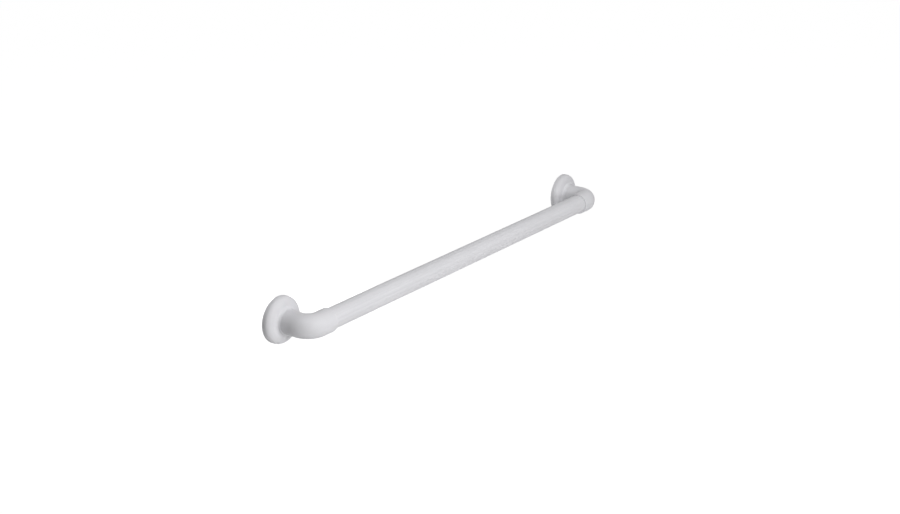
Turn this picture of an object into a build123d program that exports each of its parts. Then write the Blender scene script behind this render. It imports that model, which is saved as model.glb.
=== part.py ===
"""Fluted grab bar for a bathroom wall.

A fluted plastic grip with a metal core runs between two moulded elbows.
Each elbow has a base disc that is screwed to the wall under a domed clip-on cover.

Millimetres. X runs along the bar, Z is up, and the wall is the plane Y = 0 with the bar on its -Y side.
The origin lies on the wall, midway between the two flange centres.
"""

from build123d import *
import math
import os

# Whole bar
span = 836.0  # between the flange centres
projection = 65.0  # wall to the bar's centre line

# Fluted grip
bar_diameter = 35.0  # over the lands
grip_wall = 3.0
flute_count = 16
flute_width = 4.1
flute_depth = 0.32
flute_edge_round = 0.3

# Metal core
core_wall = 2.0
core_clearance = 0.15
core_overrun = 10.0  # past each end of the grip
core_end_gap = 0.5

# Elbow
sleeve_wall = 2.5
socket_clearance = 0.2
socket_depth = 18.0
socket_end_gap = 0.2
seat_length = 3.0  # straight stretch between the grip's seat and the bend
throat_radius = 1.8  # inside of the bend
neck_wall = 5.0
corner_web = 8.0  # between the neck's bore and the core's bore
lip_round = 1.4
mouth_chamfer = 0.3

# Base disc under the cover
base_thickness = 5.0
root_round = 3.0
screw_circle = 58.0
wall_hole_count = 3
wall_hole_diameter = 5.5
countersink_diameter = 9.5
countersink_depth = 2.0

# Flange cover
flange_diameter = 78.0
cover_wall = 2.2
side_rise = 0.2  # straight side above the base disc
dome_height = 10.5
flare_radius = 5.0
collar_lip = 0.6
collar_clearance = 0.1
cover_gap = 0.4  # between the base disc's edge and the cover
rim_gap = 0.2  # between the wall and the cover's rim
bead_height = 0.9
bead_width = 1.6
bead_clearance = 0.3

# Screw that locks the grip in each sleeve
screw_diameter = 3.9
screw_length = 9.5
screw_tip = 2.0
head_diameter = 7.0
head_height = 2.2
head_edge = 0.8
recess_length = 4.0
recess_width = 1.1
recess_depth = 1.3
spot_face_depth = 0.6
spot_face_clearance = 0.5
screw_clearance = 0.2
pilot_clearance = 0.05

# Sizes that follow
half_span = span / 2
bar_radius = bar_diameter / 2
grip_bore = bar_radius - grip_wall
core_radius = grip_bore - core_clearance
socket_radius = bar_radius + socket_clearance
elbow_radius = socket_radius + sleeve_wall
bend_radius = elbow_radius + throat_radius
sleeve_length = socket_depth + seat_length
mouth_x = half_span - bend_radius - sleeve_length
seat_x = mouth_x + socket_depth
grip_half = seat_x - socket_end_gap
core_half = grip_half + core_overrun
core_seat_x = core_half + core_end_gap
neck_bore = elbow_radius - neck_wall
neck_bore_depth = projection - grip_bore - corner_web
lock_x = mouth_x + socket_depth / 2
lock_seat = elbow_radius - spot_face_depth

cover_radius = flange_diameter / 2
cover_bore = cover_radius - cover_wall
base_radius = cover_bore - cover_gap
collar_bore = elbow_radius + collar_clearance
collar_radius = collar_bore + collar_lip
crest_radius = collar_radius + flare_radius
side_height = base_thickness + side_rise
crown_height = side_height + dome_height
lip_height = crown_height + flare_radius
bead_middle = base_thickness / 2
groove_radius = cover_bore - bead_height - bead_clearance
groove_half = bead_width / 2 + bead_clearance

# Frames: the bar's section, each flange seen from the wall outwards, and the back of the left sleeve
bar_section = Plane((0, -projection, 0), x_dir=(0, 1, 0), z_dir=(1, 0, 0))
left_flange = Plane((-half_span, 0, 0), x_dir=(1, 0, 0), z_dir=(0, -1, 0))
left_mouth = Plane((-mouth_x, -projection, 0), x_dir=(0, 1, 0), z_dir=(-1, 0, 0))
left_lock = Plane((-lock_x, -projection, 0), x_dir=(1, 0, 0), z_dir=(0, 1, 0))


def rod(radius, low, high):
    """Round bar on the local Z axis, from one height to another."""
    return Pos(0, 0, low) * Cylinder(radius, high - low, align=(Align.CENTER, Align.CENTER, Align.MIN))


def turned(outline):
    """Solid turned about the local Z axis from an outline in radius and height."""
    return revolve(Plane.XZ * make_face(outline), Axis.Z)


def both_ends(left):
    """A piece of the left end and its mirror image at the right end."""
    return left, mirror(left, about=Plane.YZ)


def lock_holes(radius):
    """Radial holes for the two locking screws, through the wall side of the tubes."""
    left = left_lock * rod(radius, 0, elbow_radius)
    return both_ends(left)


def make_grip_tube():
    """Extruded tube whose lands face the wall, the room, up and down."""
    half_angle = flute_width / bar_diameter
    half_chord = bar_radius * math.sin(half_angle)
    floor_radius = bar_radius - flute_depth
    rise = bar_radius * math.cos(half_angle) - floor_radius
    flute_radius = (half_chord**2 + rise**2) / (2 * rise)
    flute = Pos(floor_radius + flute_radius, 0) * Circle(flute_radius)
    pitch = 360 / flute_count
    outline = Circle(bar_radius)
    for index in range(flute_count):
        outline -= Rot(0, 0, (index + 0.5) * pitch) * flute
    outline = fillet(outline.vertices(), flute_edge_round)
    outline -= Circle(grip_bore)
    tube = extrude(bar_section * outline, grip_half, both=True)
    for hole in lock_holes(screw_diameter / 2 + screw_clearance):
        tube -= hole
    return tube


def make_core_tube():
    """Plain metal tube inside the grip, long enough to reach into both bends."""
    outline = Circle(core_radius) - Circle(core_radius - core_wall)
    tube = extrude(bar_section * outline, core_half, both=True)
    for hole in lock_holes(screw_diameter / 2 + pilot_clearance):
        tube -= hole
    return tube


def elbow_arm():
    """Round arm from the wall, round the bend and out to the rounded mouth of the sleeve."""
    path = FilletPolyline(
        (-half_span, 0, 0),
        (-half_span, -projection, 0),
        (-mouth_x, -projection, 0),
        radius=bend_radius,
    )
    arm = sweep(left_flange * Circle(elbow_radius), path)
    mouth_edge = arm.edges().sort_by(Axis.X)[-1]
    return fillet(mouth_edge, lip_round)


def base_disc():
    """Disc against the wall, with a groove in its edge and a rounded root at the neck."""
    root_top = base_thickness + root_round
    edge = Polyline(
        (neck_bore, root_top),
        (neck_bore, 0),
        (base_radius, 0),
        (base_radius, bead_middle - groove_half),
        (groove_radius, bead_middle - groove_half),
        (groove_radius, bead_middle + groove_half),
        (base_radius, bead_middle + groove_half),
        (base_radius, base_thickness),
        (elbow_radius + root_round, base_thickness),
    )
    root = CenterArc((elbow_radius + root_round, root_top), root_round, 180, 90)
    top = Line((elbow_radius, root_top), (neck_bore, root_top))
    return turned(edge + root + top)


def wall_screw_hole():
    """Clearance hole through the base disc, countersunk on the room side."""
    hole_radius = wall_hole_diameter / 2
    sink = Cone(
        hole_radius,
        countersink_diameter / 2,
        countersink_depth,
        align=(Align.CENTER, Align.CENTER, Align.MAX),
    )
    return rod(hole_radius, 0, base_thickness) + Pos(0, 0, base_thickness) * sink


def make_left_elbow():
    """Moulded elbow: arm and base disc, bored for the grip, the core and the screws."""
    body = elbow_arm() + left_flange * base_disc()
    body -= left_flange * rod(neck_bore, 0, neck_bore_depth)
    body -= left_mouth * rod(socket_radius, 0, socket_depth)
    body -= left_mouth * rod(grip_bore, 0, core_seat_x - mouth_x)
    lead_in = Cone(
        socket_radius + mouth_chamfer,
        socket_radius,
        mouth_chamfer,
        align=(Align.CENTER, Align.CENTER, Align.MIN),
    )
    body -= left_mouth * lead_in
    for index in range(wall_hole_count):
        # One hole points away from the bar, so the others stay clear of the sleeve for a screwdriver.
        turn = 180 + index * 360 / wall_hole_count
        body -= left_flange * Rot(0, 0, turn) * Pos(screw_circle / 2, 0) * wall_screw_hole()
    body -= left_lock * rod(screw_diameter / 2 + screw_clearance, 0, elbow_radius)
    spot_radius = head_diameter / 2 + spot_face_clearance
    body -= left_lock * rod(spot_radius, lock_seat, elbow_radius + head_height)
    return body


def make_left_cover():
    """Domed cover of even wall that flares up to a thin collar round the neck."""
    side = Line((cover_radius, rim_gap), (cover_radius, side_height))
    dome = EllipticalCenterArc(
        (crest_radius, side_height),
        cover_radius - crest_radius,
        dome_height,
        arc_size=90,
    )
    flare = CenterArc((crest_radius, lip_height), flare_radius, 180, 90)
    ceiling = crown_height - cover_wall
    collar = Polyline(
        (collar_radius, lip_height),
        (collar_bore, lip_height),
        (collar_bore, ceiling),
        (crest_radius, ceiling),
    )
    inner_dome = EllipticalCenterArc(
        (crest_radius, side_height),
        cover_bore - crest_radius,
        ceiling - side_height,
        arc_size=90,
    )
    rim = Polyline(
        (cover_bore, side_height),
        (cover_bore, bead_middle + bead_width / 2),
        (cover_bore - bead_height, bead_middle),
        (cover_bore, bead_middle - bead_width / 2),
        (cover_bore, rim_gap),
        (cover_radius, rim_gap),
    )
    return left_flange * turned(side + dome + flare + collar + inner_dome + rim)


def make_left_screw():
    """Pan-head tapping screw with a cross recess, its head seated on the sleeve's spot face."""
    head_radius = head_diameter / 2
    shank_radius = screw_diameter / 2
    shank = Polyline(
        (0, head_height),
        (0, -screw_length),
        (shank_radius, screw_tip - screw_length),
        (shank_radius, 0),
        (head_radius, 0),
        (head_radius, head_edge),
    )
    crown = EllipticalCenterArc((0, head_edge), head_radius, head_height - head_edge, arc_size=90)
    screw = turned(shank + crown)
    slot = Box(
        recess_length,
        recess_width,
        recess_depth,
        align=(Align.CENTER, Align.CENTER, Align.MAX),
    )
    screw -= Pos(0, 0, head_height) * (slot + Rot(0, 0, 90) * slot)
    return left_lock * Pos(0, 0, lock_seat) * screw


left_elbow, right_elbow = both_ends(make_left_elbow())
left_cover, right_cover = both_ends(make_left_cover())

nodes = {
    "grip_tube": make_grip_tube(),
    "core_tube": make_core_tube(),
    "left_elbow": left_elbow,
    "right_elbow": right_elbow,
    "left_flange_cover": left_cover,
    "right_flange_cover": right_cover,
    "tube_screws": Compound(children=list(both_ends(make_left_screw()))),
}

os.makedirs("parts", exist_ok=True)
for name, shape in nodes.items():
    export_step(shape, f"parts/{name}.step")
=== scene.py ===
"""Looks of a white fluted grab bar: finishes, screw threads, studio light, floor and camera.

Metres and degrees, in the part's own frame: X along the bar, Z up, and the wall is the plane Y = 0.
"""

import math

import bmesh
import bpy
from mathutils import Matrix, Vector


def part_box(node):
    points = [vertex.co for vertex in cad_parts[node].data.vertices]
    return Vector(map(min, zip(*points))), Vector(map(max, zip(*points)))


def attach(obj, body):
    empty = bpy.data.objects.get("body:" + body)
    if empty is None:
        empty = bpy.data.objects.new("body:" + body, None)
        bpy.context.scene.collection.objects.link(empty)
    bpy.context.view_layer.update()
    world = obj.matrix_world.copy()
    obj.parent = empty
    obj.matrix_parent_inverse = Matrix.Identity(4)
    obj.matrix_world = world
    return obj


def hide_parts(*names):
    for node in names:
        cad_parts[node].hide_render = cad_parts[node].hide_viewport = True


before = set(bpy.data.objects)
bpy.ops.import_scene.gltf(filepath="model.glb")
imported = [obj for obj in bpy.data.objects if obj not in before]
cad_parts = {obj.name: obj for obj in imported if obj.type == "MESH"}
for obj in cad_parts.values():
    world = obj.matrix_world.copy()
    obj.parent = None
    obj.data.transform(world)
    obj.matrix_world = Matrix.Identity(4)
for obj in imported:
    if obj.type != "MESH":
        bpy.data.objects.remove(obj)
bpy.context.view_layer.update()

# Camera, placed from the middle of the wall plane between the flanges
VIEW_AZIMUTH = -53.97  # round from straight in front of the wall
VIEW_ELEVATION = 19.52
VIEW_DISTANCE = 2.571
VIEW_RIGHT = 0.02265
VIEW_UP = -0.01562
LENS = 57.41  # millimetres, like the sensor
SENSOR = 36.0

# Stage
FLOOR_DROP = 0.45  # below the bar's centre line
FLOOR_HALF = 14.0  # half of its side
FLOOR_COLOUR = (0.82, 0.82, 0.82, 1.0)
FLOOR_SEEN = (0.1, 0.1, 0.1, 1.0)  # what is left of that colour, for shadows, where it is looked at
FLOOR_GLOW = 0.985  # makes up the rest of the white there
FLOOR_ROUGHNESS = 0.9
PURE_WHITE = (1, 1, 1, 1)
AMBIENT = 0.136  # strength of the world's light on the part

# Noise
NOISE_DETAIL = 2.0
NOISE_LOW = 0.3  # most of a noise lies between these two
NOISE_HIGH = 0.7
EVEN = (1, 1, 1)  # stretch of a noise that runs the same in all directions

# White plastics: marks are counted to the metre
WHITE = (0.784, 0.780, 0.806, 1.0)
WHITE_SHADE = 0.97  # darkest part of the slow colour drift, as a share of the white
PLASTIC_GLOSS = 0.3
PLASTIC_RELIEF = 0.5  # strength of the bump
MOULDED_PATCHES = 18.0
MOULDED_SHEEN = 240.0
MOULDED_ROUGHNESS = (0.5, 0.6)
MOULDED_GRAIN = 2600.0
MOULDED_GRAIN_DEPTH = 0.00004
EXTRUDED_PATCHES = 9.0
EXTRUDED_ROUGHNESS = (0.48, 0.58)
DIE_LINES = 1500.0
DIE_LINE_STRETCH = (0.004, 1, 1)
DIE_LINE_DEPTH = 0.00003

# Metals
ALUMINIUM = (0.74, 0.74, 0.76, 1.0)
ALUMINIUM_STRETCH = (0.01, 1, 1)
ALUMINIUM_ROUGHNESS = (0.28, 0.42)
STEEL = (0.62, 0.62, 0.64, 1.0)
STEEL_ROUGHNESS = (0.25, 0.4)
METAL_SHADE = 0.85  # darkest part of the marks, as a share of the metal's colour
METAL_MARKS = 1800.0
METAL_MARK_DEPTH = 0.00001
METAL_RELIEF = 0.4

# Locking screws
SHANK_LENGTH = 0.0095
SHANK_RADIUS = 0.00195  # over the thread
TIP_LENGTH = 0.002
THREAD_PITCH = 0.0013
THREAD_DEPTH = 0.0005
THREAD_HALF_WIDTH = 0.0003  # at its root
WELD = 1e-6  # points closer than this are one
SHARP_ANGLE = math.radians(35)


def new_material(name):
    """An empty node material with its shader joined to its output."""
    material = bpy.data.materials.new(name)
    material.use_nodes = True
    tree = material.node_tree
    tree.nodes.clear()
    output = tree.nodes.new("ShaderNodeOutputMaterial")
    shader = tree.nodes.new("ShaderNodeBsdfPrincipled")
    tree.links.new(shader.outputs["BSDF"], output.inputs["Surface"])
    return material, tree, shader


def noise(tree, scale, stretch=EVEN):
    """Noise of about `scale` marks to the metre; a stretch under one draws them out along that axis."""
    place = tree.nodes.new("ShaderNodeTexCoord")
    squeeze = tree.nodes.new("ShaderNodeMapping")
    squeeze.inputs["Scale"].default_value = stretch
    marks = tree.nodes.new("ShaderNodeTexNoise")
    marks.inputs["Scale"].default_value = scale
    marks.inputs["Detail"].default_value = NOISE_DETAIL
    tree.links.new(place.outputs["Object"], squeeze.inputs["Vector"])
    tree.links.new(squeeze.outputs["Vector"], marks.inputs["Vector"])
    return marks.outputs["Fac"]


def between(tree, factor, low, high):
    """Turns a noise into a value from low to high."""
    span = tree.nodes.new("ShaderNodeMapRange")
    span.inputs["From Min"].default_value = NOISE_LOW
    span.inputs["From Max"].default_value = NOISE_HIGH
    span.inputs["To Min"].default_value = low
    span.inputs["To Max"].default_value = high
    tree.links.new(factor, span.inputs["Value"])
    return span.outputs["Result"]


def drift(tree, factor, colour, shade):
    """A colour that drifts with a noise down to a share of itself."""
    mix = tree.nodes.new("ShaderNodeMix")
    mix.data_type = "RGBA"
    mix.inputs["A"].default_value = (*(c * shade for c in colour[:3]), 1.0)
    mix.inputs["B"].default_value = colour
    tree.links.new(between(tree, factor, 0.0, 1.0), mix.inputs["Factor"])
    return mix.outputs["Result"]


def bump(tree, height, depth, strength):
    """Surface direction over a relief of that depth."""
    relief = tree.nodes.new("ShaderNodeBump")
    relief.inputs["Distance"].default_value = depth
    relief.inputs["Strength"].default_value = strength
    tree.links.new(height, relief.inputs["Height"])
    return relief.outputs["Normal"]


def moulded_plastic(name):
    """Satin white moulding with a fine spark-eroded grain."""
    material, tree, shader = new_material(name)
    colour = drift(tree, noise(tree, MOULDED_PATCHES), WHITE, WHITE_SHADE)
    roughness = between(tree, noise(tree, MOULDED_SHEEN), *MOULDED_ROUGHNESS)
    grain = bump(tree, noise(tree, MOULDED_GRAIN), MOULDED_GRAIN_DEPTH, PLASTIC_RELIEF)
    tree.links.new(colour, shader.inputs["Base Color"])
    tree.links.new(roughness, shader.inputs["Roughness"])
    tree.links.new(grain, shader.inputs["Normal"])
    shader.inputs["Specular IOR Level"].default_value = PLASTIC_GLOSS
    return material


def extruded_plastic(name):
    """Satin white extrusion with faint die lines along its length."""
    material, tree, shader = new_material(name)
    lines = noise(tree, DIE_LINES, DIE_LINE_STRETCH)
    colour = drift(tree, noise(tree, EXTRUDED_PATCHES), WHITE, WHITE_SHADE)
    tree.links.new(colour, shader.inputs["Base Color"])
    tree.links.new(between(tree, lines, *EXTRUDED_ROUGHNESS), shader.inputs["Roughness"])
    tree.links.new(bump(tree, lines, DIE_LINE_DEPTH, PLASTIC_RELIEF), shader.inputs["Normal"])
    shader.inputs["Specular IOR Level"].default_value = PLASTIC_GLOSS
    return material


def metal(name, colour, roughness, stretch=EVEN):
    """Bare or plated metal with fine marks."""
    material, tree, shader = new_material(name)
    marks = noise(tree, METAL_MARKS, stretch)
    tree.links.new(drift(tree, marks, colour, METAL_SHADE), shader.inputs["Base Color"])
    tree.links.new(between(tree, marks, *roughness), shader.inputs["Roughness"])
    tree.links.new(bump(tree, marks, METAL_MARK_DEPTH, METAL_RELIEF), shader.inputs["Normal"])
    shader.inputs["Metallic"].default_value = 1.0
    return material


def dress(node, material):
    """Gives a CAD node its finish."""
    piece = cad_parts[node]
    piece.data.materials.clear()
    piece.data.materials.append(material)


def thread_radius(turn, depth):
    """Distance from a screw's axis to its surface, at an angle in turns and a depth under the head."""
    phase = depth / THREAD_PITCH - turn
    off_crest = abs(phase - round(phase)) * THREAD_PITCH
    height = THREAD_DEPTH * max(0.0, 1.0 - off_crest / THREAD_HALF_WIDTH)
    taper = min(1.0, (SHANK_LENGTH - depth) / TIP_LENGTH)
    return taper * (SHANK_RADIUS - THREAD_DEPTH + height)


def draw_shanks(screws, seat, axis_x):
    """Draws threaded shanks, ring by ring, from the open rims under the heads down to the tips."""
    rims = [edge for edge in screws.edges if edge.is_boundary]
    points_round = len(rims) / 2  # the rims of two screws
    step = THREAD_PITCH / points_round  # the crests then run through the points of each ring
    depth = 0.0
    while depth < SHANK_LENGTH:
        depth = min(depth + step, SHANK_LENGTH)
        grown = bmesh.ops.extrude_edge_only(screws, edges=rims)["geom"]
        rims = [item for item in grown if isinstance(item, bmesh.types.BMEdge)]
        ring = [item for item in grown if isinstance(item, bmesh.types.BMVert)]
        for point in ring:
            middle = math.copysign(axis_x, point.co.x)
            angle = math.atan2(point.co.z, point.co.x - middle)
            radius = thread_radius(angle / math.tau, depth)
            point.co = (middle + radius * math.cos(angle), seat - depth, radius * math.sin(angle))


def locking_screws():
    """The two screws of the CAD node with their own heads, and with threads on their shanks."""
    lowest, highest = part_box("tube_screws")
    seat = lowest[1] + SHANK_LENGTH
    axis_x = highest[0] - highest[2]  # a round head reaches as far along the bar as it does up
    screws = bmesh.new()
    screws.from_mesh(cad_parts["tube_screws"].data)
    bmesh.ops.remove_doubles(screws, verts=screws.verts, dist=WELD)
    plain_shanks = [point for point in screws.verts if point.co.y < seat - WELD]
    bmesh.ops.delete(screws, geom=plain_shanks, context="VERTS")
    draw_shanks(screws, seat, axis_x)
    bmesh.ops.remove_doubles(screws, verts=screws.verts, dist=WELD)
    bmesh.ops.recalc_face_normals(screws, faces=screws.faces)
    mesh = bpy.data.meshes.new("locking_screws")
    screws.to_mesh(mesh)
    screws.free()
    mesh.shade_smooth()
    mesh.set_sharp_from_angle(angle=SHARP_ANGLE)
    piece = bpy.data.objects.new("locking_screws", mesh)
    bpy.context.scene.collection.objects.link(piece)
    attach(piece, "root")
    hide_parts("tube_screws")
    return piece


def seen_directly(tree):
    """One where the camera, a gloss or a see-through surface looks at it, else nought."""
    path = tree.nodes.new("ShaderNodeLightPath")
    either = tree.nodes.new("ShaderNodeMath")
    either.operation = "MAXIMUM"
    tree.links.new(path.outputs["Is Camera Ray"], either.inputs[0])
    tree.links.new(path.outputs["Is Glossy Ray"], either.inputs[1])
    any_of = tree.nodes.new("ShaderNodeMath")
    any_of.operation = "MAXIMUM"
    tree.links.new(either.outputs["Value"], any_of.inputs[0])
    tree.links.new(path.outputs["Is Transmission Ray"], any_of.inputs[1])
    return any_of.outputs["Value"]


def make_world():
    """White where it is looked at, and a plain soft light on the part."""
    world = bpy.data.worlds.new("studio")
    bpy.context.scene.world = world
    world.use_nodes = True
    tree = world.node_tree
    tree.nodes.clear()
    output = tree.nodes.new("ShaderNodeOutputWorld")
    light = tree.nodes.new("ShaderNodeBackground")
    light.inputs["Strength"].default_value = AMBIENT
    white = tree.nodes.new("ShaderNodeBackground")
    white.inputs["Color"].default_value = PURE_WHITE
    white.inputs["Strength"].default_value = 1.0
    mix = tree.nodes.new("ShaderNodeMixShader")
    tree.links.new(seen_directly(tree), mix.inputs["Fac"])
    tree.links.new(light.outputs["Background"], mix.inputs[1])
    tree.links.new(white.outputs["Background"], mix.inputs[2])
    tree.links.new(mix.outputs["Shader"], output.inputs["Surface"])


def floor_paint():
    """Pale paint with a glow that only the eye sees, so the floor is white and its shadows stay."""
    material, tree, shader = new_material("floor_paint")
    shader.inputs["Roughness"].default_value = FLOOR_ROUGHNESS
    shader.inputs["Specular IOR Level"].default_value = 0.0
    shader.inputs["Emission Color"].default_value = PURE_WHITE
    seen = seen_directly(tree)
    colour = tree.nodes.new("ShaderNodeMix")
    colour.data_type = "RGBA"
    colour.inputs["A"].default_value = FLOOR_COLOUR
    colour.inputs["B"].default_value = FLOOR_SEEN
    tree.links.new(seen, colour.inputs["Factor"])
    tree.links.new(colour.outputs["Result"], shader.inputs["Base Color"])
    glow = tree.nodes.new("ShaderNodeMath")
    glow.operation = "MULTIPLY"
    glow.inputs[1].default_value = FLOOR_GLOW
    tree.links.new(seen, glow.inputs[0])
    tree.links.new(glow.outputs["Value"], shader.inputs["Emission Strength"])
    return material


def make_floor():
    """Level floor well under the bar."""
    signs = ((-1, -1), (1, -1), (1, 1), (-1, 1))
    corners = [(x * FLOOR_HALF, y * FLOOR_HALF, -FLOOR_DROP) for x, y in signs]
    mesh = bpy.data.meshes.new("floor")
    mesh.from_pydata(corners, [], [(0, 1, 2, 3)])
    mesh.materials.append(floor_paint())
    floor = bpy.data.objects.new("floor", mesh)
    bpy.context.scene.collection.objects.link(floor)


def direction(azimuth, elevation):
    """Unit vector from the origin, azimuth 0 straight out from the wall and 90 towards +X."""
    a = math.radians(azimuth)
    e = math.radians(elevation)
    return Vector((math.sin(a) * math.cos(e), -math.cos(a) * math.cos(e), math.sin(e)))


def lamp(name, azimuth, elevation, distance, size, watts):
    """Square soft box aimed at the origin, behind the middle of the bar."""
    data = bpy.data.lights.new(name, "AREA")
    data.size = size
    data.energy = watts
    back = direction(azimuth, elevation)
    light = bpy.data.objects.new(name, data)
    light.visible_camera = False
    light.location = back * distance
    light.rotation_euler = back.to_track_quat("Z", "Y").to_euler()
    bpy.context.scene.collection.objects.link(light)


def make_camera():
    """Camera at the photograph's angle."""
    back = direction(VIEW_AZIMUTH, VIEW_ELEVATION)
    right = Vector((0, 0, 1)).cross(back).normalized()
    up = back.cross(right)
    data = bpy.data.cameras.new("camera")
    data.sensor_width = SENSOR
    data.lens = LENS
    camera = bpy.data.objects.new("camera", data)
    place = back * VIEW_DISTANCE + right * VIEW_RIGHT + up * VIEW_UP
    camera.matrix_world = Matrix.Translation(place) @ Matrix((right, up, back)).transposed().to_4x4()
    bpy.context.scene.collection.objects.link(camera)
    bpy.context.scene.camera = camera


moulded = moulded_plastic("white_moulding")
cover = moulded_plastic("white_cover")
steel = metal("plated_steel", STEEL, STEEL_ROUGHNESS)
dress("grip_tube", extruded_plastic("white_extrusion"))
dress("core_tube", metal("drawn_aluminium", ALUMINIUM, ALUMINIUM_ROUGHNESS, ALUMINIUM_STRETCH))
locking_screws().data.materials.append(steel)
for side in ("left", "right"):
    dress(f"{side}_elbow", moulded)
    dress(f"{side}_flange_cover", cover)

make_world()
make_floor()
lamp("key", azimuth=-20, elevation=20, distance=2.4, size=1.4, watts=34.8)
lamp("top", azimuth=0, elevation=88, distance=3.0, size=2.0, watts=29.2)
lamp("back_left", azimuth=-150, elevation=35, distance=3.0, size=2.0, watts=1.5)
lamp("back_right", azimuth=150, elevation=35, distance=3.0, size=2.0, watts=1.0)
lamp("wall_side", azimuth=148, elevation=-20, distance=1.1, size=0.3, watts=6.5)
make_camera()
bpy.context.scene.view_settings.view_transform = "Standard"
